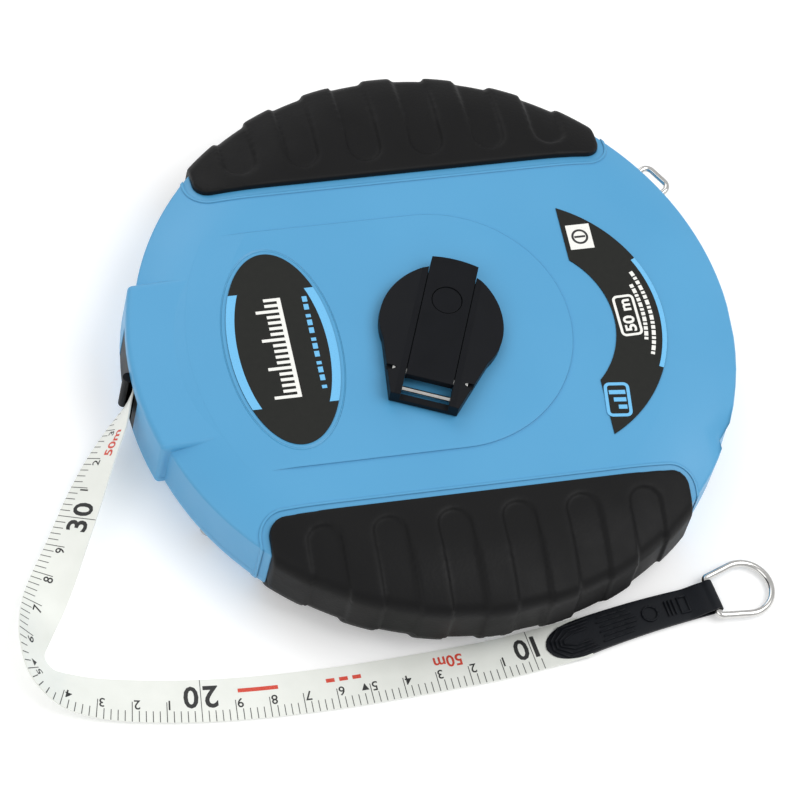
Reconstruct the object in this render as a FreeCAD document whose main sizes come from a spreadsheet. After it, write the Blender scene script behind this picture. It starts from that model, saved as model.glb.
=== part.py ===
import FreeCAD, Part
import math
import os
import re

import Sketcher
from FreeCAD import Placement, Rotation, Vector

# A 50 m closed-reel fibreglass tape measure, lying on its back.
# Frame: the reel turns about Z, which passes through the origin; the rear face is at z = 0 and
# the crank is on the +Z side. The tape leaves the case towards -X; the long grips lie at +Y and -Y.

os.makedirs("parts", exist_ok=True)
doc = FreeCAD.newDocument("tape_measure")
sheet = doc.addObject("Spreadsheet::Sheet", "sizes")

SIZES = (
    # case
    ("case_radius", 91.0), ("wall", 3.5), ("face_wall", 2.5), ("floor_wall", 2.5),
    ("rear_z", 1.0), ("parting_z", 10.4), ("shoulder_height", 3.1), ("lid_gap", 2.7),
    ("crown_flat", 69.5), ("crown_drop", 4.8), ("front_round", 0.8), ("rear_round", 9.0), ("inner_round", 3.5),
    ("pad_radius", 26.0),
    ("panel_radius", 40.2), ("panel_rise", 0.5), ("panel_reach", 65.0), ("panel_fade", 11.0),
    ("panel_end_drop", 0.4),
    # block that carries the tape mouth
    ("block_proud", 2.4), ("block_half", 28.0), ("block_depth", 23.4), ("block_start", 0.35),
    ("block_fall", 2.2), ("block_foot_z", 7.0), ("block_round", 1.6),
    # rubber grips
    ("grip_chord", 55.4), ("grip_half", 63.5), ("grip_corner", 5.0), ("grip_sink", 1.2),
    ("seat_gap", 0.04), ("seat_round", 0.6), ("grip_proud", 2.0), ("grip_round", 5.0),
    ("rear_grip_proud", 0.6), ("rear_grip_round", 10.0),
    ("slot_pitch", 19.4), ("slot_width", 10.5), ("slot_inset", 4.6), ("slot_sink", 0.9),
    ("border_gap", 2.2), ("border_width", 0.8), ("border_rise", 0.35),
    # tape
    ("tape_width", 13.0), ("tape_gauge", 0.45), ("pack_inset", 1.6), ("core_radius", 22.0),
    # mouth guard
    ("guard_top_y", 16.0), ("guard_low_y", -10.0), ("guard_depth", 6.0), ("guard_margin", 1.6),
    ("slit_margin", 0.7), ("slit_width", 3.0), ("lip_radius", 1.5),
    ("exit_inset", 1.4), ("exit_y", -1.5),
    # reel
    ("flange_inset", 4.9), ("flange_gauge", 1.2), ("flange_gap", 1.1), ("window_count", 6.0),
    ("window_radius", 12.0), ("window_circle", 48.0),
    ("journal_radius", 8.0), ("bush_wall", 2.0), ("running_gap", 0.05), ("bearing_length", 7.0),
    ("shoulder_radius", 12.0), ("washer_gauge", 0.5), ("washer_gap", 0.1),
    # crank
    ("crank_angle", 67.0), ("disc_margin", 2.2), ("spindle_radius", 16.5), ("socket_gap", 0.05),
    ("front_bush_wall", 1.9), ("collar_wall", 2.6), ("collar_gap", 0.7),
    ("crank_floor", 1.2), ("crank_height", 4.9), ("wing_edge", 2.6), ("wing_ledge", 9.2),
    ("skirt_reach", 28.3), ("skirt_half", 10.3),
    ("arm_width", 14.2), ("arm_side_gap", 0.2), ("arm_tip", 20.4),
    ("arm_heel", 1.6), ("arm_lift", 0.2), ("tip_bow", 1.2),
    ("pin_reach", 19.5), ("pin_depth", 1.5), ("pin_radius", 1.0), ("pin_half", 11.4),
    ("rod_reach", 24.0), ("rod_radius", 0.8), ("rod_drop", 2.4),
    ("window_near", 16.8), ("window_far", 26.2),
    ("knob_reach", 7.0), ("knob_root", 5.2), ("knob_end", 4.8), ("knob_length", 12.0),
    ("knob_well", 6.0), ("well_reach", 9.0), ("well_floor_z", 19.0),
    ("rivet_radius", 1.5), ("rivet_head", 4.4), ("rivet_head_gauge", 0.8),
    ("screw_reach", 11.3), ("screw_side", 4.2),
    # screws
    ("boss_radius", 3.0), ("screw_shank", 1.25), ("screw_head", 2.7),
    ("head_gauge", 2.0), ("screw_head_z", 5.0), ("screw_end_gap", 4.5), ("head_gap", 0.5),
    # labels
    ("label_gauge", 0.3), ("oval_x", -48.0), ("oval_y", -0.6), ("oval_half_width", 16.2),
    ("oval_half_height", 32.5),
    ("crescent_x", 25.0), ("crescent_y", -2.0), ("crescent_outer", 44.0), ("crescent_inner", 28.6),
    ("crescent_edge", 44.5),
    # hanging loop
    ("loop_angle", 33.0), ("loop_wire", 1.0), ("loop_half", 5.0), ("loop_reach", 8.0),
    ("loop_proud", 2.0), ("loop_z", 13.0), ("lug_half", 2.2), ("lug_radius", 2.4),
    ("loop_gap", 0.08),
    # end strap and ring
    ("strap_angle", 9.7), ("strap_x", 16.4), ("strap_y", -94.2), ("strap_length", 52.5),
    ("strap_width", 11.8), ("strap_neck", 9.8), ("strap_gauge", 2.2), ("fold_radius", 2.4),
    ("strap_tip", 5.0), ("ring_wire", 1.15), ("ring_root", 6.4), ("ring_wide", 10.4),
    ("ring_reach", 19.4), ("ring_corner", 1.5), ("ring_gap", 0.3),
)

# Sizes that follow from the ones above: the case closes round the tape's width and the reel.
FOLLOWING = (
    ("middle_z", "rear_z + floor_wall + shoulder_height + washer_gauge + washer_gap"
                  " + flange_gauge + flange_gap + tape_width / 2"),
    ("face_z", "middle_z + tape_width / 2 + flange_gap + flange_gauge + lid_gap + face_wall"),
    ("crown_bow", "((case_radius - crown_flat) ^ 2 + crown_drop ^ 2) / (2 * crown_drop)"),
    ("block_radius", "case_radius + block_proud"), ("block_reach", "block_radius - block_depth"),
    ("slot_start", "grip_chord + slot_inset"),
    ("flange_radius", "case_radius - wall - flange_inset"), ("pack_radius", "flange_radius - pack_inset"),
    ("guard_height", "tape_width + 2 * guard_margin"), ("slit_height", "tape_width + 2 * slit_margin"),
    ("exit_x", "exit_inset - block_radius"),
    ("collar_drop", "lid_gap - collar_gap"), ("disc_radius", "spindle_radius + disc_margin"),
    ("screw_circle", "case_radius - wall"),
    ("screw_length", "face_z - face_wall - screw_head_z - head_gauge - screw_end_gap"),
    ("loop_radius", "case_radius + loop_proud"),
)

for row, (alias, value) in enumerate(SIZES + FOLLOWING, start=1):
    sheet.set("A%d" % row, alias)
    sheet.set("B%d" % row, "=" + value if isinstance(value, str) else str(value))
    sheet.setAlias("B%d" % row, alias)
ALIASES = {alias for alias, _ in SIZES + FOLLOWING}
doc.recompute()


def tie(text):
    """The expression that reads the named sizes in text from the sheet."""
    def named(found):
        word = found.group(0)
        return "sizes." + word if word in ALIASES else word
    return re.sub(r"[a-z][a-z_]+", named, text)


def size(text):
    """The present value of an expression in named sizes."""
    return float(sheet.evalExpression(tie(text)))


def bind(feature, **links):
    for prop, text in links.items():
        feature.setExpression(prop.replace("__", "."), tie(text))
    return feature


def move(feature, x="0", y="0", z="0"):
    return bind(feature, Placement__Base__x=x, Placement__Base__y=y, Placement__Base__z=z)


def turn(feature, angle, axis=Vector(0, 0, 1)):
    """Turns a finished feature about an axis through its own origin."""
    feature.Placement = Placement(Vector(), Rotation(axis, size(angle)))
    return bind(feature, Placement__Rotation__Angle=angle)


# ---- plain solids -------------------------------------------------------------------------------

def cylinder(label, radius, low, high, x="0", y="0"):
    feature = doc.addObject("Part::Cylinder", label)
    bind(feature, Radius=radius, Height="(%s) - (%s)" % (high, low))
    return move(feature, x, y, low)


def cone(label, low_radius, high_radius, low, high, x="0", y="0"):
    feature = doc.addObject("Part::Cone", label)
    bind(feature, Radius1=low_radius, Radius2=high_radius, Height="(%s) - (%s)" % (high, low))
    return move(feature, x, y, low)


def block(label, x0, x1, y0, y1, z0, z1):
    feature = doc.addObject("Part::Box", label)
    bind(feature, Length="(%s) - (%s)" % (x1, x0), Width="(%s) - (%s)" % (y1, y0),
         Height="(%s) - (%s)" % (z1, z0))
    return move(feature, x0, y0, z0)


def rod(label, radius, x, z, y0, y1):
    """A round bar along Y."""
    feature = doc.addObject("Part::Cylinder", label)
    feature.Placement = Placement(Vector(), Rotation(Vector(1, 0, 0), -90))
    bind(feature, Radius=radius, Height="(%s) - (%s)" % (y1, y0))
    return move(feature, x, y0, z)


def fuse(label, *parts):
    feature = doc.addObject("Part::MultiFuse", label)
    feature.Shapes = list(parts)
    return feature


def common(label, *parts):
    feature = doc.addObject("Part::MultiCommon", label)
    feature.Shapes = list(parts)
    return feature


def cut(label, base, *tools):
    feature = doc.addObject("Part::Cut", label)
    feature.Base = base
    feature.Tool = tools[0] if len(tools) == 1 else fuse(label + "_cutters", *tools)
    return feature


def softened(label, base, radius, wanted):
    """Rounds the edges of base that wanted() picks."""
    doc.recompute()
    bend = size(radius)
    feature = doc.addObject("Part::Fillet", label)
    feature.Base = base
    feature.Edges = [(i, bend, bend) for i, edge in enumerate(base.Shape.Edges, start=1) if wanted(edge)]
    return feature


def upright(edge):
    """A straight edge along Z."""
    box = edge.BoundBox
    return box.ZLength > 0.1 and box.XLength < 0.001 and box.YLength < 0.001


def level_ring(height):
    """Picks whole circles at one height."""
    def wanted(edge):
        box = edge.BoundBox
        return box.ZLength < 0.001 and abs(box.ZMin - size(height)) < 0.001 and box.XLength > 0.1
    return wanted


# ---- sketched bodies ----------------------------------------------------------------------------

def origin_plane(body, role):
    return next(feature for feature in body.Origin.OriginFeatures if feature.Role == role)


def draw(sketch, outline, arcs={}):
    """A closed outline whose corners are tied to the sheet: straight sides, but for the arcs.

    An arc here turns back along the outline, from its end to its start, and leaves the last
    corner level, so its middle lies straight below that corner.
    """
    spots = [Vector(size(a), size(b), 0) for a, b in outline]
    count = len(spots)
    for i in range(count):
        sketch.addGeometry(arcs.get(i, Part.LineSegment(spots[i], spots[(i + 1) % count])))
    for i in range(count):
        sketch.addConstraint(Sketcher.Constraint("Coincident", i, 2, (i + 1) % count, 1))
    for i in arcs:
        sketch.addConstraint(Sketcher.Constraint("Vertical", i, 3, i, 2))
    for i, (across, along) in enumerate(outline):
        for kind, text, value, axis in (("DistanceX", across, spots[i].x, -2),
                                        ("DistanceY", along, spots[i].y, -1)):
            if abs(value) < 1e-9:
                sketch.addConstraint(Sketcher.Constraint("PointOnObject", i, 1, axis))
                continue
            number = sketch.addConstraint(Sketcher.Constraint(kind, -1, 1, i, 1, value))
            sketch.setExpression("Constraints[%d]" % number, tie(text))


def sketched(label, role, outline, offset="0"):
    body = doc.addObject("PartDesign::Body", label)
    sketch = body.newObject("Sketcher::SketchObject", label + "_outline")
    sketch.AttachmentSupport = [(origin_plane(body, role), "")]
    sketch.MapMode = "FlatFace"
    sketch.setExpression("AttachmentOffset.Base.z", tie(offset))
    draw(sketch, outline)
    return body, sketch


def turned(label, outline):
    """A body turned about the reel axis from a section of (radius, height) corners."""
    body, sketch = sketched(label, "XZ_Plane", outline)
    spin = body.newObject("PartDesign::Revolution", label + "_spin")
    spin.Profile = sketch
    spin.ReferenceAxis = (sketch, ["V_Axis"])
    spin.Angle = 360
    return body


def slab(label, outline, low, high):
    """A plan outline padded from one height to another."""
    body, sketch = sketched(label, "XY_Plane", outline, low)
    pad = body.newObject("PartDesign::Pad", label + "_pad")
    pad.Profile = sketch
    bind(pad, Length="(%s) - (%s)" % (high, low))
    return body


def profile(label, outline, half):
    """A side outline in (x, z), padded to the same depth on both sides of Y = 0."""
    body, sketch = sketched(label, "XZ_Plane", outline, "-(%s)" % half)
    pad = body.newObject("PartDesign::Pad", label + "_pad")
    pad.Profile = sketch
    bind(pad, Length="2 * (%s)" % half)
    return body


# ---- shared surfaces of the case ----------------------------------------------------------------

CAVITY = "case_radius - wall"
FRONT_INSIDE = "face_z - face_wall"
REAR_INSIDE = "rear_z + floor_wall"
PACK_LOW = "middle_z - tape_width / 2"
PACK_HIGH = "middle_z + tape_width / 2"
REEL_LOW = PACK_LOW + " - flange_gap - flange_gauge"
REEL_HIGH = PACK_HIGH + " + flange_gap + flange_gauge"
SPINDLE_FOOT = REEL_LOW + " + bearing_length"
SIDES = (("upper", 1), ("lower", -1))


def crown(label, reach, lift, low):
    """Turned solid with the face's section: flat in the middle, then an arc that falls to reach."""
    high, bow = "face_z + (%s)" % lift, "crown_bow + (%s)" % lift
    heart = "face_z - crown_bow"
    rim = "%s + sqrt((%s) ^ 2 - (%s - crown_flat) ^ 2)" % (heart, bow, reach)
    corners = (("0", low), (reach, low), (reach, rim), ("crown_flat", high), ("0", high))
    body = doc.addObject("PartDesign::Body", label)
    sketch = body.newObject("Sketcher::SketchObject", label + "_outline")
    sketch.AttachmentSupport = [(origin_plane(body, "XZ_Plane"), "")]
    sketch.MapMode = "FlatFace"
    circle = Part.Circle(Vector(size("crown_flat"), size(heart), 0), Vector(0, 0, 1), size(bow))
    end = math.asin(size("(%s - crown_flat) / (%s)" % (reach, bow)))
    draw(sketch, corners, {2: Part.ArcOfCircle(circle, math.pi / 2 - end, math.pi / 2)})
    spin = body.newObject("PartDesign::Revolution", label + "_spin")
    spin.Profile = sketch
    spin.ReferenceAxis = (sketch, ["V_Axis"])
    spin.Angle = 360
    return body, rim


def front_skin(label, lift, bend):
    """Solid out to the front cover's outer surface, moved out by lift."""
    body, rim = crown(label + "_blank", "case_radius + (%s)" % lift, lift, "parting_z")
    return softened(label, body, bend, level_ring(rim))


def rear_skin(label, lift, low, bend):
    body = cylinder(label + "_blank", "case_radius + (%s)" % lift, low, "parting_z")
    return softened(label, body, bend, level_ring(low))


def grip_zone(label, sign, margin):
    """The rounded rectangle that a grip fills in plan, grown by margin."""
    near = "grip_chord - (%s)" % margin
    far = "case_radius + 20"
    y0, y1 = (near, far) if sign > 0 else ("-(%s)" % far, "-(%s)" % near)
    box = block(label + "_blank", "-(grip_half + (%s))" % margin, "grip_half + (%s)" % margin,
                y0, y1, "-5", "face_z + 5")
    return softened(label, box, "grip_corner + (%s)" % margin, upright)


def slots(label, sign):
    """Six round-ended finger grooves, running out over the shoulder."""
    tools = []
    for i in range(6):
        x = "slot_pitch * %.1f" % (i - 2.5)
        y = "%d * (slot_start + slot_width / 2)" % sign
        y0, y1 = (y, "case_radius + 20") if sign > 0 else ("-(case_radius + 20)", y)
        tools.append(cylinder("%s_end_%d" % (label, i), "slot_width / 2", "-5", "face_z + 5", x, y))
        tools.append(block("%s_run_%d" % (label, i), "%s - slot_width / 2" % x,
                           "%s + slot_width / 2" % x, y0, y1, "-5", "face_z + 5"))
    return fuse(label, *tools)


def border(label, sign, skin):
    """The fine raised line that follows a grip's edge."""
    ring = cut(label + "_ring", grip_zone(label + "_outer", sign, "border_gap + border_width"),
               grip_zone(label + "_inner", sign, "border_gap"))
    return common(label, ring, skin)


def screw_spots():
    """Places of the case screws: clear of the mouth and the hanging loop."""
    for i, angle in enumerate((18, 90, 150, 210, 270, 330)):
        yield i, angle, ("screw_circle * cos(%d deg)" % angle, "screw_circle * sin(%d deg)" % angle)


nodes = {}


def keep(name, feature):
    feature.Label = name
    nodes[name] = feature
    return feature


# ---- covers and grips ---------------------------------------------------------------------------

def mouth_pocket(label):
    """Where the mouth guard sits, through the wall of the block."""
    return block(label, "-block_radius - 3", "-(case_radius - wall - 4)", "guard_low_y", "guard_top_y",
                 "middle_z - guard_height / 2", "middle_z + guard_height / 2")


def mouth_block(label, low, near, far):
    """Block round the mouth, from low up to a top that runs from near, inside, to far, outside."""
    body = profile(label + "_side", (("-block_radius - 2", low), ("-block_reach", low),
                                     ("-block_reach", near), ("-block_radius - 2", far)), "block_half")
    blank = common(label + "_blank", body,
                   cylinder(label + "_round", "block_radius", low, "face_z + 5"))

    def outer(edge):
        box = edge.BoundBox
        inside = box.XMin > -size("block_reach") - 0.01
        joint = abs(box.ZMin - size("parting_z")) < 0.01 and box.ZLength < 0.01
        return not inside and not joint
    return softened(label, blank, "block_round", outer)


def front_cover():
    skin = front_skin("front_skin", "0", "front_round")
    plan = fuse("panel_plan", cylinder("panel_disc", "panel_radius", "face_z - 1", "face_z + 1"),
                block("panel_tongue", "-case_radius", "0", "-panel_radius", "panel_radius",
                      "face_z - 1", "face_z + 1"))
    top = turned("panel_top", (("0", "face_z - 1"), ("panel_reach + panel_fade", "face_z - 1"),
                               ("panel_reach + panel_fade", "face_z - panel_end_drop"),
                               ("panel_reach", "face_z + panel_rise"), ("0", "face_z + panel_rise")))
    outside = [skin, common("panel", plan, top),
               mouth_block("front_block", "parting_z", "face_z - block_start", "face_z - block_fall")]
    line_skin = front_skin("front_line_skin", "border_rise", "front_round")
    hole = "spindle_radius + running_gap + front_bush_wall"
    hollows = [crown("front_cavity", CAVITY, "-face_wall", "parting_z")[0],
               mouth_pocket("front_mouth"), cylinder("bush_hole", hole, "0", "face_z + 5")]
    for side, sign in SIDES:
        outside.append(border("front_border_" + side, sign, line_skin))
        hollows.append(cut("front_grip_seat_" + side, grip_zone("front_zone_" + side, sign, "0"),
                           front_skin("front_seat_skin_" + side, "-grip_sink", "seat_round")))
    shell = cut("front_shell", fuse("front_outside", *outside), *hollows)
    inside = [shell]
    pilots = []
    for i, _, (x, y) in screw_spots():
        post = cylinder("front_post_%d" % i, "boss_radius", "parting_z", FRONT_INSIDE, x, y)
        limit = crown("front_boss_limit_%d" % i, "case_radius - 1.5", "-1.5", "parting_z")[0]
        inside.append(common("front_boss_%d" % i, post, limit))
        pilots.append(cylinder("pilot_%d" % i, "screw_shank", "parting_z",
                               "screw_head_z + head_gauge + screw_length", x, y))
    inside.append(cut("collar", cylinder("collar_disc", hole + " + collar_wall",
                                         FRONT_INSIDE + " - collar_drop", FRONT_INSIDE),
                      cylinder("collar_bore", hole, "0", "face_z")))
    inside.append(loop_lug())
    pilots.append(rod_along_tangent("lug_bore", "loop_wire + loop_gap", "lug_half + 1"))
    return keep("front_cover", cut("front_cover_body", fuse("front_solid", *inside), *pilots))


def rear_cover():
    skin = rear_skin("rear_skin", "0", "rear_z", "rear_round")
    pad = cylinder("rear_pad", "pad_radius", "0", "rear_z + 1")
    outside = [skin, pad, mouth_block("rear_block", "block_foot_z", "parting_z", "parting_z")]
    line_skin = rear_skin("rear_line_skin", "border_rise", "rear_z", "rear_round")
    cavity = softened("rear_cavity", cylinder("rear_cavity_blank", CAVITY, REAR_INSIDE, "parting_z"),
                      "inner_round", level_ring(REAR_INSIDE))
    hollows = [cavity, mouth_pocket("rear_mouth")]
    for side, sign in SIDES:
        outside.append(border("rear_border_" + side, sign, line_skin))
        hollows.append(cut("rear_grip_seat_" + side, grip_zone("rear_zone_" + side, sign, "0"),
                           rear_skin("rear_seat_skin_" + side, "-grip_sink", "rear_z + grip_sink",
                                     "rear_round - grip_sink")))
    shell = cut("rear_shell", fuse("rear_outside", *outside), *hollows)
    inside = [shell, cylinder("journal", "journal_radius", REAR_INSIDE, SPINDLE_FOOT + " - 0.4"),
              cylinder("shoulder", "shoulder_radius", REAR_INSIDE,
                       REEL_LOW + " - washer_gap - washer_gauge")]
    holes = []
    for i, _, (x, y) in screw_spots():
        post = cylinder("rear_post_%d" % i, "boss_radius", "rear_z + 1.5", "parting_z", x, y)
        limit = rear_skin("rear_boss_limit_%d" % i, "-1.5", "rear_z", "rear_round - 1.5")
        inside.append(common("rear_boss_%d" % i, post, limit))
        holes.append(cylinder("screw_hole_%d" % i, "screw_shank + 0.15", "0", "parting_z", x, y))
        holes.append(cylinder("head_hole_%d" % i, "screw_head + head_gap", "-1",
                              "screw_head_z + head_gauge", x, y))
    return keep("rear_cover", cut("rear_cover_body", fuse("rear_solid", *inside), *holes))


def front_grip(side, sign):
    label = "front_grip_" + side
    zone = grip_zone(label + "_zone", sign, "0")
    full = common(label + "_full", zone, front_skin(label + "_skin", "grip_proud", "grip_round"))
    seat = front_skin(label + "_seat", "seat_gap - grip_sink", "seat_round + seat_gap")
    low = front_skin(label + "_low", "grip_proud - slot_sink", "grip_round")
    grooves = cut(label + "_grooves", slots(label + "_slots", sign), low)
    return keep(label, cut(label + "_body", full, seat, grooves))


def rear_grip(side, sign):
    label = "rear_grip_" + side
    zone = grip_zone(label + "_zone", sign, "0")
    full = common(label + "_full", zone, rear_skin(label + "_skin", "rear_grip_proud", "0",
                                                 "rear_grip_round"))
    seat = rear_skin(label + "_seat", "seat_gap - grip_sink", "rear_z + grip_sink - seat_gap",
                     "rear_round + seat_gap - grip_sink")
    low = rear_skin(label + "_low", "rear_grip_proud - slot_sink", "slot_sink",
                    "rear_grip_round - slot_sink")
    tools = [seat, cut(label + "_grooves", slots(label + "_slots", sign), low)]
    for i, angle, (x, y) in screw_spots():
        if angle == 180 - 90 * sign:
            tools.append(cylinder(label + "_access", "screw_head + 2 * head_gap", "-1", "parting_z", x, y))
    return keep(label, cut(label + "_body", full, *tools))


# ---- tape mouth ---------------------------------------------------------------------------------

def slit_angle():
    """Heading of the tape from the wound pack out through the mouth."""
    start = math.atan2(size("exit_y"), size("exit_x"))
    reach = math.hypot(size("exit_x"), size("exit_y"))
    radius = size("pack_radius + tape_gauge + 0.3")
    lead = start % (2 * math.pi) - math.acos(radius / reach)
    return lead, radius


def mouth_guard():
    lead, _ = slit_angle()
    heading = math.degrees(lead) + 90
    face = cylinder("guard_round", "block_radius - 0.2", "0", "face_z")
    plate = block("guard_plate", "-block_radius - 2", "-block_radius + guard_depth - 1", "guard_low_y",
                  "guard_top_y", "middle_z - guard_height / 2", "middle_z + guard_height / 2")
    lips = []
    for name, side, ahead, spare in (("outer", -1, 0.0, 0.0), ("inner", 1, 3.0, 1.3)):
        lip = doc.addObject("Part::Cylinder", "guard_lip_" + name)
        bind(lip, Radius="lip_radius", Height="slit_height + 1")
        gap = size("lip_radius + slit_width / 2 - 0.8") + spare
        along = Vector(math.cos(math.radians(heading)), math.sin(math.radians(heading)), 0)
        across = Vector(-along.y, along.x, 0)
        spot = Vector(size("exit_x"), size("exit_y"), size("middle_z - slit_height / 2 - 0.5"))
        lip.Placement = Placement(spot + along * ahead + across * (side * gap), Rotation())
        lips.append(lip)
    slit = doc.addObject("Part::Box", "guard_slit")
    bind(slit, Length="guard_depth * 5", Width="slit_width", Height="slit_height")
    middle = Placement(Vector(size("exit_x"), size("exit_y"), size("middle_z - slit_height / 2")),
                       Rotation(Vector(0, 0, 1), heading))
    slit.Placement = middle * Placement(Vector(-size("guard_depth * 3"), -size("slit_width / 2"), 0),
                                        Rotation())
    body = fuse("guard_solid", common("guard_blank", plate, face), *lips)
    return keep("mouth_guard", cut("mouth_guard_body", body, slit))


# ---- reel ---------------------------------------------------------------------------------------

def windows(label):
    tools = []
    for i in range(int(size("window_count"))):
        angle = "%.3f deg" % (i * 360 / size("window_count"))
        tools.append(cylinder("%s_%d" % (label, i), "window_radius", "0", "face_z",
                              "window_circle * cos(%s)" % angle, "window_circle * sin(%s)" % angle))
    return tools


def reel():
    bore = "journal_radius + running_gap + bush_wall"
    socket = "spindle_radius + socket_gap"
    hub = turned("hub_blank", ((bore, REEL_LOW), ("flange_radius", REEL_LOW),
                               ("flange_radius", PACK_LOW + " - flange_gap"),
                               ("core_radius", PACK_LOW + " - flange_gap"),
                               ("core_radius", REEL_HIGH), (socket, REEL_HIGH), (socket, SPINDLE_FOOT),
                               (bore, SPINDLE_FOOT)))
    keep("reel_hub", cut("reel_hub_body", hub, *windows("rear_window"), *crank_screw_holes("hub_pilot")))
    plate = turned("flange_blank", (("core_radius", PACK_HIGH + " + flange_gap"),
                                    ("flange_radius", PACK_HIGH + " + flange_gap"),
                                    ("flange_radius", REEL_HIGH), ("core_radius", REEL_HIGH)))
    keep("reel_flange", cut("reel_flange_body", plate, *windows("front_window")))
    keep("wound_tape", turned("pack", (("core_radius", PACK_LOW), ("pack_radius", PACK_LOW),
                                       ("pack_radius", PACK_HIGH), ("core_radius", PACK_HIGH))))
    keep("rear_bush", turned("rear_bush_body", (
        ("journal_radius + running_gap", REEL_LOW), (bore, REEL_LOW), (bore, SPINDLE_FOOT),
        ("journal_radius + running_gap", SPINDLE_FOOT))))
    low = REEL_LOW + " - washer_gap - washer_gauge"
    keep("rear_washer", turned("rear_washer_body", (
        ("journal_radius", low), ("shoulder_radius", low), ("shoulder_radius", low + " + washer_gauge"),
        ("journal_radius", low + " + washer_gauge"))))
    hole = "spindle_radius + running_gap"
    top = "face_z + panel_rise"
    low = FRONT_INSIDE + " - collar_drop"
    keep("front_bush", turned("front_bush_body", (
        (hole, low), (hole + " + front_bush_wall", low), (hole + " + front_bush_wall", top), (hole, top))))
    keep("front_washer", turned("front_washer_body", (
        (hole, top), ("disc_radius - 0.4", top), ("disc_radius - 0.4", top + " + washer_gauge"),
        (hole, top + " + washer_gauge"))))


# ---- crank: modelled along +X, then turned to crank_angle ----------------------------------------

CRANK_FOOT = "face_z + panel_rise + washer_gauge + washer_gap"
CRANK_TOP = CRANK_FOOT + " + crank_height"
SLOT_FLOOR = CRANK_FOOT + " + crank_floor"
PIN_Z = CRANK_TOP + " + arm_lift - pin_depth"


def crank_screw_holes(label):
    holes = []
    for i, sign in enumerate((1, -1)):
        along, across = "(-screw_reach)", "(%d * screw_side)" % sign
        x = "%s * cos(crank_angle * 1deg) - %s * sin(crank_angle * 1deg)" % (along, across)
        y = "%s * sin(crank_angle * 1deg) + %s * cos(crank_angle * 1deg)" % (along, across)
        holes.append(cylinder("%s_%d" % (label, i), "screw_shank", SPINDLE_FOOT + " - 3", SPINDLE_FOOT,
                              x, y))
    return holes


def crank_base():
    plan = fuse("crank_plan", cylinder("crank_disc", "disc_radius", CRANK_FOOT, CRANK_TOP),
                slab("crank_skirt", (("-2", "-(disc_radius - 0.3)"), ("-skirt_reach", "-skirt_half"),
                                     ("-skirt_reach", "skirt_half"), ("-2", "disc_radius - 0.3")),
                     CRANK_FOOT, CRANK_TOP))
    edge = CRANK_FOOT + " + wing_edge"
    section = sketched("crank_wings", "YZ_Plane", (
        ("-disc_radius - 1", CRANK_FOOT), ("disc_radius + 1", CRANK_FOOT), ("disc_radius + 1", edge),
        ("wing_ledge", CRANK_TOP), ("-wing_ledge", CRANK_TOP), ("-disc_radius - 1", edge)),
        "-(skirt_reach + 1)")
    pad = section[0].newObject("PartDesign::Pad", "crank_wings_pad")
    pad.Profile = section[1]
    bind(pad, Length="skirt_reach + disc_radius + 4")
    head = common("crank_head", plan, section[0])
    stem = cylinder("spindle", "spindle_radius", SPINDLE_FOOT, CRANK_FOOT + " + 0.5")
    slot_half = "arm_width / 2 + arm_side_gap"
    tools = [block("arm_slot", "-(window_near)", "disc_radius + 5", "-(%s)" % slot_half, slot_half,
                   SLOT_FLOOR, CRANK_TOP + " + 5"),
             block("heel_window", "-window_far", "-window_near", "-(%s)" % slot_half, slot_half,
                   CRANK_FOOT + " - 1", CRANK_TOP + " + 5"),
             block("tail_step", "-skirt_reach - 2", "-window_far", "-(%s)" % slot_half, slot_half,
                   PIN_Z + " - pin_depth - 0.3", CRANK_TOP + " + 5"),
             cylinder("well_a", "knob_well", "well_floor_z", CRANK_TOP + " + 5", "knob_reach - 0.6"),
             cylinder("well_b", "knob_well", "well_floor_z", CRANK_TOP + " + 5", "well_reach"),
             block("well_c", "knob_reach - 0.6", "well_reach", "-knob_well", "knob_well", "well_floor_z",
                   CRANK_TOP + " + 5"),
             rod("pin_bore", "pin_radius", "-pin_reach", PIN_Z, "-pin_half - 6", "pin_half + 6"),
             rod("rod_bore", "rod_radius", "-rod_reach", PIN_Z + " - rod_drop",
                 "-(%s) - 1.5" % slot_half, slot_half + " + 1.5")]
    for i, sign in enumerate((1, -1)):
        tools.append(cylinder("crank_shank_%d" % i, "screw_shank", "0", CRANK_TOP, "-screw_reach",
                              "%d * screw_side" % sign))
        tools.append(cylinder("crank_head_hole_%d" % i, "screw_head + 0.2", SLOT_FLOOR + " - 2.4",
                              CRANK_TOP, "-screw_reach", "%d * screw_side" % sign))
    return keep("crank_base", turn(cut("crank_base_body", fuse("crank_solid", head, stem), *tools),
                                   "crank_angle"))


def crank_arm():
    low, high = SLOT_FLOOR + " + 0.1", CRANK_TOP + " + arm_lift"
    bar = profile("arm_bar", (("-pin_reach - arm_heel", low + " + 1.4"),
                              ("-pin_reach - arm_heel + 1.2", low), ("arm_tip", low), ("arm_tip + tip_bow", high),
                              ("-pin_reach - arm_heel", high)), "arm_width / 2")
    tip = cylinder("arm_tip_round", "arm_tip + tip_bow + 12", low + " - 1", high + " + 1", "-12")
    tools = [rod("arm_bore", "pin_radius + running_gap", "-pin_reach", PIN_Z, "-20", "20"),
             cylinder("rivet_bore", "rivet_radius + running_gap", "0", "face_z + 30", "knob_reach"),
             cylinder("rivet_seat", "rivet_head + 0.25", high + " - rivet_head_gauge - 0.1", high + " + 1",
                      "knob_reach")]
    return keep("crank_arm", turn(cut("crank_arm_body", common("arm_blank", bar, tip), *tools),
                                  "crank_angle"))


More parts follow.
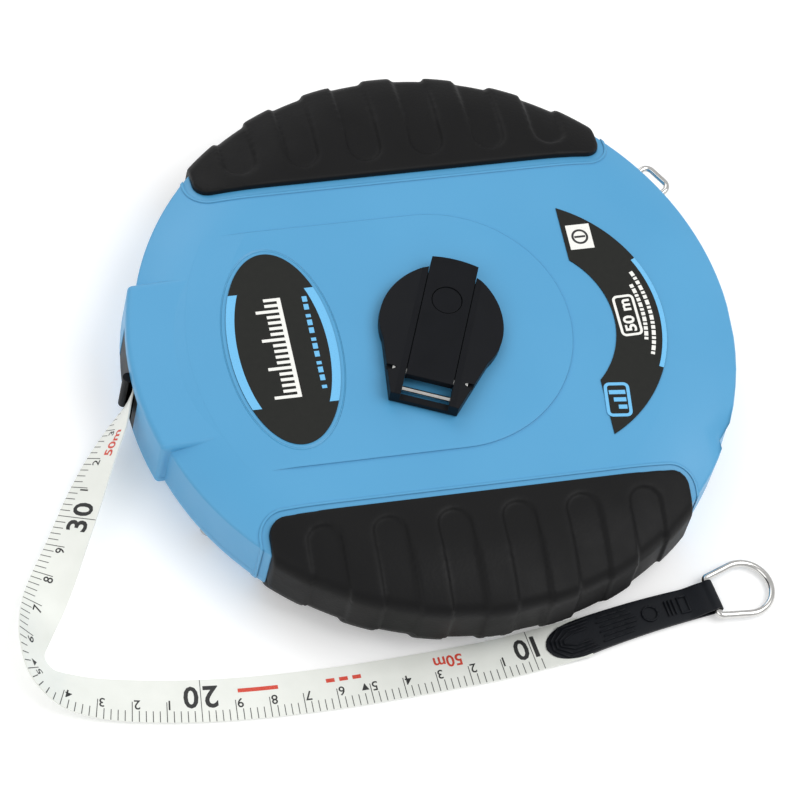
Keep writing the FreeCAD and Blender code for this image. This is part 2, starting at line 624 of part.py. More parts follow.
def crank_knob():
    top = SLOT_FLOOR + " - 0.1"
    low = top + " - knob_length"
    grip = cone("knob_cone", "knob_end", "knob_root", low, top, "knob_reach")
    tools = [cylinder("knob_bore", "rivet_radius + running_gap", "0", "face_z + 10", "knob_reach"),
             cylinder("knob_counterbore", "rivet_radius + 1.2", low + " - 1", low + " + 1.6", "knob_reach")]
    return keep("crank_knob", turn(cut("crank_knob_body", grip, *tools), "crank_angle"))


def small_metal():
    low = SLOT_FLOOR + " - 0.1 - knob_length"
    high = CRANK_TOP + " + arm_lift"
    stem = cylinder("rivet_stem", "rivet_radius", low + " + 0.3", high + " - 0.2", "knob_reach")
    foot = cylinder("rivet_foot", "rivet_radius + 0.8", low + " + 0.3", low + " + 1.3", "knob_reach")
    head = cylinder("rivet_cap", "rivet_head", high + " - rivet_head_gauge", high + " - 0.1", "knob_reach")
    keep("knob_rivet", turn(fuse("knob_rivet_body", stem, foot, head), "crank_angle"))
    keep("hinge_pin", turn(common("hinge_pin_body",
                                  rod("hinge_rod", "pin_radius", "-pin_reach", PIN_Z, "-20", "20"),
                                  block("hinge_limit", "-30", "0", "-pin_half", "pin_half", "0", "60")),
                           "crank_angle"))
    half = "arm_width / 2 + arm_side_gap + 1.5"
    keep("detent_rod", turn(common("detent_rod_body",
                                   rod("detent_bar", "rod_radius", "-rod_reach", PIN_Z + " - rod_drop",
                                       "-20", "20"),
                                   block("detent_limit", "-30", "0", "-(%s)" % half, half, "0", "60")),
                            "crank_angle"))
    screws = []
    for i, sign in enumerate((1, -1)):
        y = "%d * screw_side" % sign
        seat = SLOT_FLOOR + " - 2.4"
        screws.append(fuse("crank_screw_%d" % i,
                           cylinder("crank_screw_shank_%d" % i, "screw_shank", SPINDLE_FOOT + " - 2.8",
                                    seat, "-screw_reach", y),
                           cylinder("crank_screw_head_%d" % i, "screw_head", seat, seat + " + 1.8",
                                    "-screw_reach", y)))
    keep("crank_screws", turn(fuse("crank_screws_body", *screws), "crank_angle"))
    screws = []
    for i, _, (x, y) in screw_spots():
        seat = "screw_head_z + head_gauge"
        screws.append(fuse("case_screw_%d" % i,
                           cylinder("case_screw_shank_%d" % i, "screw_shank", seat,
                                    seat + " + screw_length - 0.5", x, y),
                           cylinder("case_screw_head_%d" % i, "screw_head", "screw_head_z", seat, x, y)))
    keep("case_screws", fuse("case_screws_body", *screws))


# ---- labels -------------------------------------------------------------------------------------

def labels():
    ellipse = doc.addObject("Part::Ellipse", "oval_outline")
    bind(ellipse, MajorRadius="oval_half_height", MinorRadius="oval_half_width")
    ellipse.Placement = Placement(Vector(), Rotation(Vector(0, 0, 1), 90))
    move(ellipse, "oval_x", "oval_y", "face_z + panel_rise")
    badge = doc.addObject("Part::Extrusion", "label_oval_body")
    badge.Base = ellipse
    badge.DirMode = "Custom"
    badge.Dir = Vector(0, 0, 1)
    badge.Solid = True
    bind(badge, LengthFwd="label_gauge")
    keep("label_oval", badge)
    low, high = "face_z", "face_z + label_gauge"
    ring = cut("crescent_ring",
               cylinder("crescent_disc", "crescent_outer", low, high, "crescent_x", "crescent_y"),
               cylinder("crescent_hole", "crescent_inner", low, high, "crescent_x", "crescent_y"))
    side = block("crescent_side", "crescent_edge", "case_radius", "-case_radius", "case_radius", low, high)
    keep("label_crescent", common("label_crescent_body", ring, side))


# ---- hanging loop -------------------------------------------------------------------------------

def around(feature, angle):
    """Turns a feature about the reel axis, keeping its own placement underneath."""
    swing = Placement(Vector(), Rotation(Vector(0, 0, 1), size(angle)))
    feature.Placement = swing.multiply(feature.Placement)
    return feature


def wire_loop(spots, bend, wire):
    """A round wire bent through spots, closed, each corner an arc of its own radius."""
    count = len(spots)
    pieces = []
    starts = []
    for i, corner in enumerate(spots):
        before = (spots[i - 1] - corner).normalize()
        after = (spots[(i + 1) % count] - corner).normalize()
        half = before.getAngle(after) / 2
        setback = bend[i] / math.tan(half)
        middle = (before + after).normalize()
        inner = corner + middle * (bend[i] / math.sin(half) - bend[i])
        starts.append((corner + before * setback, inner, corner + after * setback))
    for i, (first, mid, last) in enumerate(starts):
        pieces.append(Part.Arc(first, mid, last).toShape())
        following = starts[(i + 1) % count][0]
        if (following - last).Length > 1e-6:
            pieces.append(Part.LineSegment(last, following).toShape())
    path = Part.Wire(pieces)
    begin = path.Edges[0].Vertexes[0].Point
    direction = path.Edges[0].tangentAt(path.Edges[0].FirstParameter)
    disc = Part.Wire([Part.makeCircle(wire, begin, direction)])
    return path.makePipeShell([disc], True, True)


def rod_along_tangent(label, radius, half):
    feature = doc.addObject("Part::Feature", label)
    feature.Shape = Part.makeCylinder(size(radius), 2 * size(half),
                                      Vector(size("loop_radius"), -size(half), size("loop_z")),
                                      Vector(0, 1, 0))
    return around(feature, "loop_angle")


def loop_lug():
    """The moulded ear on the front cover that holds the wire loop."""
    feature = doc.addObject("Part::Feature", "loop_lug")
    half, radius = size("lug_half"), size("lug_radius")
    eye = Part.makeCylinder(radius, 2 * half, Vector(size("loop_radius"), -half, size("loop_z")),
                            Vector(0, 1, 0))
    root = Part.makeBox(size("loop_radius - case_radius + wall / 2"), 2 * half, 2 * radius,
                        Vector(size("case_radius - wall / 2"), -half, size("loop_z") - radius))
    feature.Shape = eye.fuse(root)
    return around(feature, "loop_angle")


def hanging_loop():
    feature = doc.addObject("Part::Feature", "hanging_loop")
    half, reach, wire = size("loop_half"), size("loop_reach"), size("loop_wire")
    axis_x, z = size("loop_radius"), size("loop_z")
    spots = [Vector(axis_x, -half, z), Vector(axis_x + reach, -half, z), Vector(axis_x + reach, half, z),
             Vector(axis_x, half, z)]
    feature.Shape = wire_loop(spots, (1.6, 2.4, 2.4, 1.6), wire)
    return keep("hanging_loop", around(feature, "loop_angle"))


# ---- free tape, strap and ring ------------------------------------------------------------------

# The middle of the free tape from the mouth to its end in the strap: x, y, z, and the roll of the
# tape about its own line in degrees (90 stands on edge, 0 lies flat).
TAPE_ROUTE = (
    (-92.0, -1.5, 16.0, 90), (-97.2, -10.2, 13.4, 62), (-104.4, -19.8, 10.8, 48),
    (-112.0, -32.8, 8.8, 31), (-119.6, -46.6, 7.2, 22), (-126.4, -58.4, 6.1, -2),
    (-131.4, -67.6, 5.9, -34), (-134.8, -76.4, 5.9, -57), (-132.4, -85.0, 4.9, -42),
    (-125.4, -90.0, 2.6, -14), (-112.0, -93.9, 1.4, 2), (-84.0, -97.8, 1.2, 6),
    (-52.0, -98.6, 1.1, 4), (-22.0, -97.4, 1.0, 0), (8.0, -95.6, 1.1, 0), (29.0, -92.0, 1.1, 0))


def tape_stations():
    """Points, headings and rolls along runs joined by tangent arcs, and the length and radii."""
    spots = [Vector(x, y, z) for x, y, z, _ in TAPE_ROUTE]
    rolls = [roll for _, _, _, roll in TAPE_ROUTE]
    stations = [(spots[0], (spots[1] - spots[0]).normalize(), rolls[0])]
    radii = []
    for i in range(1, len(spots) - 1):
        before, after = spots[i - 1] - spots[i], spots[i + 1] - spots[i]
        lengths = (before.Length, after.Length)
        setback = 0.45 * min(lengths)
        before.normalize()
        after.normalize()
        half_turn = (math.pi - before.getAngle(after)) / 2
        radius = setback / math.tan(half_turn)
        radii.append(radius)
        middle = (before + after).normalize()
        inner = spots[i] + middle * (radius / math.cos(half_turn) - radius)
        stations.append((spots[i] + before * setback, before * -1,
                         rolls[i] + (rolls[i - 1] - rolls[i]) * setback / lengths[0]))
        stations.append((inner, (after - before).normalize(), rolls[i]))
        stations.append((spots[i] + after * setback, Vector(after),
                         rolls[i] + (rolls[i + 1] - rolls[i]) * setback / lengths[1]))
    stations.append((spots[-1], (spots[-1] - spots[-2]).normalize(), rolls[-1]))
    length = sum((b[0] - a[0]).Length for a, b in zip(stations, stations[1:]))
    return stations, length, radii


def tape_section(spot, heading, roll):
    """The four corners of the tape's section at one station."""
    left = Vector(0, 0, 1).cross(heading).normalize()
    upward = heading.cross(left)
    c, s = math.cos(math.radians(roll)), math.sin(math.radians(roll))
    wide = (left * c + upward * s) * (size("tape_width") / 2)
    thick = (upward * c - left * s) * (size("tape_gauge") / 2)
    return [spot + wide + thick, spot - wide + thick, spot - wide - thick, spot + wide - thick]


def ribbon(stations):
    """A flat band through the stations, each span closed by four ruled faces."""
    sections = [tape_section(*station) for station in stations]
    faces = [Part.Face(Part.makePolygon(corners + corners[:1])) for corners in (sections[0], sections[-1])]
    for here, there in zip(sections, sections[1:]):
        for i in range(4):
            k = (i + 1) % 4
            faces.append(Part.makeRuledSurface(Part.LineSegment(here[i], here[k]).toShape(),
                                               Part.LineSegment(there[i], there[k]).toShape()))
    shell = Part.makeShell(faces)
    shell.sewShape()
    solid = Part.makeSolid(shell)
    if solid.Volume < 0:
        solid.reverse()
    return solid


def free_tape():
    stations, length, radii = tape_stations()
    lead, radius = slit_angle()
    start = Vector(radius * math.cos(lead), radius * math.sin(lead), size("middle_z"))
    finish = Vector(size("exit_x"), size("exit_y"), size("middle_z"))
    heading = (finish - start).normalize()
    inner = doc.addObject("Part::Feature", "tape_lead")
    inner.Shape = ribbon([(start, heading, 90), (finish, heading, 90)])
    keep("tape_lead", inner)
    feature = doc.addObject("Part::Feature", "tape_blade")
    feature.Shape = ribbon([(finish, heading, 90)] + stations[1:])
    section = size("tape_width * tape_gauge")
    print("tape length %.1f mm, volume %.1f of %.1f mm3" % (length, feature.Shape.Volume, section * length))
    print("tape radii " + " ".join("%.0f" % radius for radius in radii))
    return keep("tape_blade", feature)


def strap_place(feature):
    feature.Placement = Placement(Vector(size("strap_x"), size("strap_y"), 0),
                                  Rotation(Vector(0, 0, 1), size("strap_angle")))
    return bind(feature, Placement__Base__x="strap_x", Placement__Base__y="strap_y",
                Placement__Rotation__Angle="strap_angle")


def end_strap(tape):
    right = (("0", "-1.8"), ("strap_tip", "0.5 - strap_width / 2"), ("2.4 * strap_tip", "-strap_width / 2"),
             ("strap_length", "-strap_neck / 2"))
    left = tuple((along, "-(%s)" % across) for along, across in reversed(right))
    band = slab("strap_band", right + left, "0", "strap_gauge")
    fold = rod("strap_fold", "fold_radius", "strap_length + 1.4", "fold_radius", "-strap_neck / 2",
               "strap_neck / 2")
    eye = rod("strap_eye", "ring_wire + ring_gap", "strap_length + 1.4", "fold_radius",
              "-strap_width", "strap_width")
    whole = strap_place(cut("strap_whole", fuse("strap_solid", band, fold), eye))
    return keep("end_strap", cut("end_strap_body", whole, tape))


def d_ring():
    feature = doc.addObject("Part::Feature", "d_ring")
    root, wide, reach, wire = (size(name) for name in ("ring_root", "ring_wide", "ring_reach",
                                                       "ring_wire"))
    spots = [Vector(0, -root, 0), Vector(reach, -wide, 0), Vector(reach, wide, 0), Vector(0, root, 0)]
    bow = 0.995 * wide * math.tan((math.pi / 2 - math.atan((wide - root) / reach)) / 2)
    ring = wire_loop(spots, (size("ring_corner"), bow, bow, size("ring_corner")), wire)
    drop = math.degrees(math.asin((size("fold_radius") - wire) / reach))
    feature.Shape = ring
    along = Placement(Vector(size("strap_length + 1.4"), 0, size("fold_radius")),
                      Rotation(Vector(0, 1, 0), drop))
    strap = Placement(Vector(size("strap_x"), size("strap_y"), 0),
                      Rotation(Vector(0, 0, 1), size("strap_angle")))
    feature.Placement = strap.multiply(along)
    return keep("d_ring", feature)


front_cover()
rear_cover()
for side, sign in SIDES:
    front_grip(side, sign)
    rear_grip(side, sign)
mouth_guard()
reel()
crank_base()
crank_arm()
crank_knob()
small_metal()
labels()
hanging_loop()
end_strap(free_tape())
d_ring()
doc.recompute()

faults = [feature.Label for feature in doc.Objects
          if "Invalid" in feature.State or "Error" in feature.State]
for name, feature in nodes.items():
    shape = feature.Shape
    if shape.isNull() or not shape.isValid() or not shape.Solids:
        faults.append(name)
if faults:
    raise RuntimeError("not sound: " + ", ".join(faults))
for name, feature in nodes.items():
    feature.Shape.exportStep("parts/%s.step" % name)
    print("%-20s solids %d  volume %.1f" % (name, len(feature.Shape.Solids), feature.Shape.Volume))
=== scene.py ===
import math

import bmesh
import bpy
from mathutils import Matrix, Vector


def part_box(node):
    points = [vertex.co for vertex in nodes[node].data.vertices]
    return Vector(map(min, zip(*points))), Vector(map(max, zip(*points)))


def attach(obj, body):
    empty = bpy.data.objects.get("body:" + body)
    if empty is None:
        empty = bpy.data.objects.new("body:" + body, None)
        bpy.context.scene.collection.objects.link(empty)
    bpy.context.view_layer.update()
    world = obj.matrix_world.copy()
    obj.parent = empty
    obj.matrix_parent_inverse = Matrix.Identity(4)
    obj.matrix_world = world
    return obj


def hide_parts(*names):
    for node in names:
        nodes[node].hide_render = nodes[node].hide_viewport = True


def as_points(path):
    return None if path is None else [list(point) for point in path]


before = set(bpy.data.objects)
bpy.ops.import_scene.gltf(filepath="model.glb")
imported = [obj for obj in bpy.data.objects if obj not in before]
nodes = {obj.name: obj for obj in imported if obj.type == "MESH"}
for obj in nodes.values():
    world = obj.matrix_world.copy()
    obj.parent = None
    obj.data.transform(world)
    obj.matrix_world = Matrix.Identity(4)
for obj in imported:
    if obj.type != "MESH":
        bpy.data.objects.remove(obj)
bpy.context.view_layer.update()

MM = 0.001
LABEL_OVAL_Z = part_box("label_oval")[1].z
LABEL_CRESCENT_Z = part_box("label_crescent")[1].z
PRINT_LIFT = 0.03 * MM  # ink stands this far above what it's printed on
OVAL_X, OVAL_Y = -48.0, -0.6  # the oval label's middle, mm


# ---- colours and shader nodes --------------------------------------------------------------------

def colour(code):
    """Linear colour from sRGB hex."""
    parts = [int(code[i:i + 2], 16) / 255 for i in (1, 3, 5)]
    return tuple(p / 12.92 if p <= 0.04045 else ((p + 0.055) / 1.055) ** 2.4 for p in parts) + (1.0,)


def add(tree, kind, settings=None, inputs=None):
    """Adds a node; an input is a number, a colour or another node's output."""
    made = tree.nodes.new("ShaderNode" + kind)
    for name, value in (settings or {}).items():
        setattr(made, name, value)
    for name, value in (inputs or {}).items():
        if isinstance(value, bpy.types.NodeSocket):
            tree.links.new(value, made.inputs[name])
        else:
            made.inputs[name].default_value = value
    return made


def finish_for(name, **fixed):
    """An empty material: its tree and its shader, with the fixed sockets set."""
    material = bpy.data.materials.new(name)
    material.use_nodes = True
    tree = material.node_tree
    shader = tree.nodes["Principled BSDF"]
    for socket, value in fixed.items():
        shader.inputs[socket.replace("_", " ")].default_value = value
    return material, tree, shader


def per_metre(size_mm):
    """Texture scale whose features are size_mm across."""
    return 1000.0 / size_mm


def noise(tree, where, size_mm, detail):
    """Noise with features of size_mm, from 0 to 1."""
    made = add(tree, "TexNoise", None, {"Vector": where, "Scale": per_metre(size_mm), "Detail": detail})
    return made.outputs["Fac"]


def bumped(tree, shader, height, distance_mm, strength, edge_mm=0.0):
    """Puts a bump on the shader; edge_mm rounds the look of sharp moulded edges first."""
    inputs = {"Height": height, "Distance": distance_mm * MM, "Strength": strength}
    if edge_mm:
        rounded = add(tree, "Bevel", {"samples": 6}, {"Radius": edge_mm * MM})
        inputs["Normal"] = rounded.outputs["Normal"]
    bump = add(tree, "Bump", None, inputs)
    tree.links.new(bump.outputs["Normal"], shader.inputs["Normal"])


def shade_between(tree, factor, low, high):
    """The colour that runs from low to high as factor goes from 0 to 1."""
    mixed = add(tree, "Mix", {"data_type": "RGBA"}, {"Factor": factor, "A": low, "B": high})
    return mixed.outputs["Result"]


NOISE_SPAN = (0.3, 0.7)  # where most of a noise's values lie


def painted(tree, shader, factor, low, high):
    """Base colour between two sRGB codes."""
    tree.links.new(shade_between(tree, factor, colour(low), colour(high)), shader.inputs["Base Color"])


def roughened(tree, shader, factor, low, high, span=(0.0, 1.0)):
    """Roughness from low to high as factor crosses span."""
    rough = add(tree, "MapRange", None, {"Value": factor, "From Min": span[0], "From Max": span[1],
                                         "To Min": low, "To Max": high})
    tree.links.new(rough.outputs["Result"], shader.inputs["Roughness"])


# ---- finishes ------------------------------------------------------------------------------------

def moulded_abs(name, body, grooves=False):
    """Injection-moulded ABS in sky blue: satin, with the fine grain of a spark-eroded mould."""
    material, tree, shader = finish_for(name, IOR=1.54)
    where = add(tree, "TexCoord").outputs["Object"]
    # mould grain is about 0.15 mm; drawn at 0.5 mm so that it shows
    grain = noise(tree, where, 0.5, 3.0)
    cloud = noise(tree, where, 45, 2.0)
    painted(tree, shader, cloud, body[0], body[1])
    handled = noise(tree, where, 18, 5.0)
    roughened(tree, shader, handled, 0.36, 0.46, NOISE_SPAN)
    if grooves:
        bumped(tree, shader, with_oval_groove(tree, where, grain), 0.25, 1.0, 0.5)
    else:
        bumped(tree, shader, grain, 0.02, 0.5, 0.5)
    return material


def with_oval_groove(tree, where, grain):
    """Adds the fine moulded line round the oval label to the grain."""
    turned = add(tree, "Mapping", {"vector_type": "TEXTURE"},
                 {"Vector": where, "Location": (OVAL_X * MM, OVAL_Y * MM, 0.0),
                  "Scale": (17.6 * MM, 33.9 * MM, 1.0)}).outputs["Vector"]
    flat = add(tree, "VectorMath", {"operation": "MULTIPLY"},
               {0: turned, 1: (1.0, 1.0, 0.0)}).outputs["Vector"]
    reach = add(tree, "VectorMath", {"operation": "LENGTH"}, {0: flat}).outputs["Value"]
    off = add(tree, "Math", {"operation": "SUBTRACT"}, {0: reach, 1: 1.0}).outputs["Value"]
    away = add(tree, "Math", {"operation": "ABSOLUTE"}, {0: off}).outputs["Value"]
    # the groove fades out 0.018 of the oval's half-width to each side, about 0.3 mm
    line = add(tree, "MapRange", {"interpolation_type": "SMOOTHSTEP"},
               {"Value": away, "From Min": 0.0, "From Max": 0.018,
                "To Min": 0.0, "To Max": 1.0}).outputs["Result"]
    fine = add(tree, "Math", {"operation": "MULTIPLY"}, {0: grain, 1: 0.04}).outputs["Value"]
    return add(tree, "Math", {"operation": "ADD"}, {0: line, 1: fine}).outputs["Value"]


def moulded_rubber(name):
    """Thermoplastic rubber over-moulding: near-black, matt; its edges painted greyer in patches, partly as
    wear and partly as painted sheen.
    """
    material, tree, shader = finish_for(name, IOR=1.5, Specular_IOR_Level=0.18)
    where = add(tree, "TexCoord").outputs["Object"]
    # leather-like mould texture, cells about 0.9 mm
    cells = add(tree, "TexVoronoi", {"feature": "SMOOTH_F1"},
                {"Vector": where, "Scale": per_metre(0.9), "Smoothness": 0.6}).outputs["Distance"]
    rubbed = noise(tree, where, 14, 6.0)
    # convex edges are painted greyer: partly rubbed wear, partly a painted sheen where the edges catch the
    # light
    edge = add(tree, "NewGeometry").outputs["Pointiness"]
    edge_wear_and_sheen = add(tree, "MapRange", None, {"Value": edge, "From Min": 0.50, "From Max": 0.56}).outputs["Result"]
    both = add(tree, "Math", {"operation": "MULTIPLY"}, {0: edge_wear_and_sheen, 1: rubbed}).outputs["Value"]
    painted(tree, shader, both, "#0B0B0C", "#171718")
    roughened(tree, shader, rubbed, 0.46, 0.6, NOISE_SPAN)
    bumped(tree, shader, cells, 0.05, 0.6)
    return material


def moulded_nylon(name, dark, light, low_gloss, high_gloss, edge_mm=0.35):
    """Injection-moulded nylon: even colour, a slight flow grain, satin."""
    material, tree, shader = finish_for(name, IOR=1.53, Specular_IOR_Level=0.12)
    where = add(tree, "TexCoord").outputs["Object"]
    grain = noise(tree, where, 0.4, 4.0)
    flow = noise(tree, where, 9, 3.0)
    painted(tree, shader, flow, dark, light)
    roughened(tree, shader, flow, low_gloss, high_gloss, NOISE_SPAN)
    bumped(tree, shader, grain, 0.02, 0.6, edge_mm)
    return material


def coated_fibreglass():
    """PVC-coated fibreglass tape: white, with the glass yarns just showing as fine ridges along it."""
    material, tree, shader = finish_for("coated_fibreglass", IOR=1.53, Coat_Weight=0.15, Coat_Roughness=0.25)
    along = add(tree, "UVMap", {"uv_map": "tape"}).outputs["UV"]
    # yarns 0.65 mm apart across the tape, which is V
    yarns = add(tree, "TexWave", {"wave_type": "BANDS", "bands_direction": "Y"},
                {"Vector": along, "Scale": per_metre(0.65) / 20, "Distortion": 0.4,
                 "Detail": 1.0}).outputs["Fac"]
    tint = noise(tree, along, 7, 4.0)
    painted(tree, shader, tint, "#E3E6DF", "#EFF1EB")
    roughened(tree, shader, tint, 0.38, 0.5, NOISE_SPAN)
    bumped(tree, shader, yarns, 0.03, 0.5)
    return material


def wound_fibreglass():
    """The edges of the wound turns: fine rings round the reel's axis."""
    material, tree, shader = finish_for("wound_fibreglass", IOR=1.53)
    where = add(tree, "TexCoord").outputs["Object"]
    # a turn is 0.45 mm; drawn 1.2 mm apart
    rings = add(tree, "TexWave", {"wave_type": "RINGS", "rings_direction": "Z"},
                {"Vector": where, "Scale": per_metre(1.2) / 20, "Distortion": 0.3}).outputs["Fac"]
    painted(tree, shader, rings, "#B9BBB2", "#E6E8E0")
    roughened(tree, shader, rings, 0.5, 0.65)
    bumped(tree, shader, rings, 0.1, 0.8)
    return material


def screen_ink(name, code, thin):
    """Printing ink: dense and flat, thinner in specks where the squeegee left less."""
    material, tree, shader = finish_for(name, IOR=1.5)
    where = add(tree, "TexCoord").outputs["Object"]
    specks = noise(tree, where, 0.35, 2.0)
    thinner = add(tree, "MapRange", None,
                  {"Value": specks, "From Min": 0.55, "From Max": 0.75}).outputs["Result"]
    painted(tree, shader, thinner, code, thin)
    roughened(tree, shader, specks, 0.45, 0.6)
    return material


def label_film():
    """Self-adhesive polyester film printed charcoal: smooth, with a slight orange peel."""
    material, tree, shader = finish_for("label_film", IOR=1.5, Specular_IOR_Level=0.2)
    where = add(tree, "TexCoord").outputs["Object"]
    peel = noise(tree, where, 1.6, 2.0)
    painted(tree, shader, peel, "#1C1D1B", "#21221F")
    roughened(tree, shader, peel, 0.38, 0.5)
    bumped(tree, shader, peel, 0.02, 0.4)
    return material


def grained_vinyl():
    """Calendered vinyl with a pressed leather grain: blue-black, low sheen."""
    material, tree, shader = finish_for("grained_vinyl", IOR=1.5, Specular_IOR_Level=0.2)
    where = add(tree, "TexCoord").outputs["Object"]
    grain = add(tree, "TexVoronoi", {"feature": "DISTANCE_TO_EDGE"},
                {"Vector": where, "Scale": per_metre(0.8), "Randomness": 1.0}).outputs["Distance"]
    tint = noise(tree, where, 5, 4.0)
    painted(tree, shader, tint, "#0D1015", "#15181E")
    roughened(tree, shader, tint, 0.42, 0.55, NOISE_SPAN)
    bumped(tree, shader, grain, 0.06, 0.7)
    return material


def plated_wire():
    """Nickel-plated steel wire: bright, with faint drawing marks."""
    material, tree, shader = finish_for("plated_wire", Metallic=1.0)
    where = add(tree, "TexCoord").outputs["Object"]
    marks = noise(tree, where, 2.5, 5.0)
    painted(tree, shader, marks, "#C9C8C6", "#E3E2DF")
    roughened(tree, shader, marks, 0.12, 0.22, NOISE_SPAN)
    bumped(tree, shader, marks, 0.02, 0.3)
    return material


def turned_steel():
    """Turned and tumbled steel: grey, brushed round, duller in patches."""
    material, tree, shader = finish_for("turned_steel", Metallic=1.0)
    where = add(tree, "TexCoord").outputs["Object"]
    lines = noise(tree, where, 0.3, 2.0)
    painted(tree, shader, lines, "#A9A9A8", "#C8C8C6")
    roughened(tree, shader, lines, 0.25, 0.42)
    bumped(tree, shader, lines, 0.01, 0.4, 0.15)
    return material


BLUE = ("#4998C7", "#52A1CF")
case_face = moulded_abs("moulded_abs_face", BLUE, grooves=True)
case_back = moulded_abs("moulded_abs_back", BLUE)
rubber = moulded_rubber("moulded_rubber")
nylon = moulded_nylon("moulded_nylon_black", "#090B0F", "#101217", 0.4, 0.5)
reel_grey = moulded_nylon("moulded_nylon_grey", "#45464A", "#505156", 0.45, 0.55)
acetal = moulded_nylon("turned_acetal", "#DAD8CF", "#E6E4DB", 0.35, 0.45)
tape_white = coated_fibreglass()
wound_white = wound_fibreglass()
film = label_film()
vinyl = grained_vinyl()
wire = plated_wire()
steel = turned_steel()
ink_grey = screen_ink("screen_ink_grey", "#3A3B3B", "#565757")
ink_black = screen_ink("screen_ink_black", "#232424", "#3A3B3B")
ink_red = screen_ink("screen_ink_red", "#D2402C", "#DF6B58")
ink_white = screen_ink("screen_ink_white", "#F1F1EC", "#DCDCD6")
ink_blue = screen_ink("screen_ink_blue", "#6CBBEA", "#62ACDA")

FINISHES = {
    "front_cover": case_face, "rear_cover": case_back, "mouth_guard": nylon,
    "reel_hub": reel_grey, "reel_flange": reel_grey, "wound_tape": wound_white, "tape_lead": wound_white,
    "rear_bush": acetal, "rear_washer": acetal, "front_bush": acetal, "front_washer": nylon,
    "crank_base": nylon, "crank_arm": nylon, "crank_knob": nylon, "knob_rivet": nylon,
    "hinge_pin": steel, "detent_rod": wire, "crank_screws": steel, "case_screws": steel,
    "label_oval": film, "label_crescent": film, "hanging_loop": wire, "d_ring": wire,
}
for name, material in FINISHES.items():
    nodes[name].data.materials.clear()
    nodes[name].data.materials.append(material)


# ---- making pieces -------------------------------------------------------------------------------

def piece_from(bm, name, material, body, corner=35, smooth=True):
    """A finished piece: smooth but for edges sharper than corner degrees."""
    for face in bm.faces:
        face.smooth = smooth
    for edge in bm.edges:
        if len(edge.link_faces) == 2 and edge.calc_face_angle(0.0) > math.radians(corner):
            edge.smooth = False
    mesh = bpy.data.meshes.new(name)
    bm.to_mesh(mesh)
    bm.free()
    mesh.materials.append(material)
    made = bpy.data.objects.new(name, mesh)
    bpy.context.scene.collection.objects.link(made)
    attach(made, body)
    return made


def mesh_of(data):
    """The plain mesh of a curve or a text, with nothing left in the scene."""
    holder = bpy.data.objects.new("holder", data)
    bpy.context.scene.collection.objects.link(holder)
    bpy.context.view_layer.update()
    mesh = bpy.data.meshes.new_from_object(holder.evaluated_get(bpy.context.evaluated_depsgraph_get()))
    bpy.data.objects.remove(holder)
    return mesh


def softened_rubber(node, body):
    """The grip's moulding with its edges rounded as rubber comes out of a mould."""
    blank = bpy.data.objects.new("blank", nodes[node].data.copy())
    bpy.context.scene.collection.objects.link(blank)
    bm = bmesh.new()
    bm.from_mesh(blank.data)
    bmesh.ops.remove_doubles(bm, verts=bm.verts, dist=0.002 * MM)
    bm.to_mesh(blank.data)
    bm.free()
    remesh = blank.modifiers.new("remesh", "REMESH")
    remesh.mode, remesh.voxel_size = "VOXEL", 0.6 * MM
    relax = blank.modifiers.new("relax", "SMOOTH")
    relax.factor, relax.iterations = 0.5, 6
    bpy.context.view_layer.update()
    mesh = bpy.data.meshes.new_from_object(blank.evaluated_get(bpy.context.evaluated_depsgraph_get()))
    bpy.data.objects.remove(blank)
    bm = bmesh.new()
    bm.from_mesh(mesh)
    made = piece_from(bm, node + "_rubber", rubber, body, corner=180)
    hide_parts(node)
    return made


for node in ("front_grip_upper", "front_grip_lower", "rear_grip_upper", "rear_grip_lower"):
    softened_rubber(node, "case")


# ---- free tape -----------------------------------------------------------------------------------

# The tape's route from the mouth to its end in the strap: x, y, z in mm, and its roll in degrees
# (90 stands on edge, 0 lies flat). The same points as in the CAD source.
TAPE_ROUTE = (
    (-92.0, -1.5, 16.0, 90), (-97.2, -10.2, 13.4, 62), (-104.4, -19.8, 10.8, 48),
    (-112.0, -32.8, 8.8, 31), (-119.6, -46.6, 7.2, 22), (-126.4, -58.4, 6.1, -2),
    (-131.4, -67.6, 5.9, -34), (-134.8, -76.4, 5.9, -57), (-132.4, -85.0, 4.9, -42),
    (-125.4, -90.0, 2.6, -14), (-112.0, -93.9, 1.4, 2), (-84.0, -97.8, 1.2, 6),
    (-52.0, -98.6, 1.1, 4), (-22.0, -97.4, 1.0, 0), (8.0, -95.6, 1.1, 0), (29.0, -92.0, 1.1, 0))
TAPE_WIDTH, TAPE_GAUGE = 13.0, 0.45
STRAP_AT, STRAP_TURN = Vector((16.4, -94.2, 0.0)), math.radians(9.7)


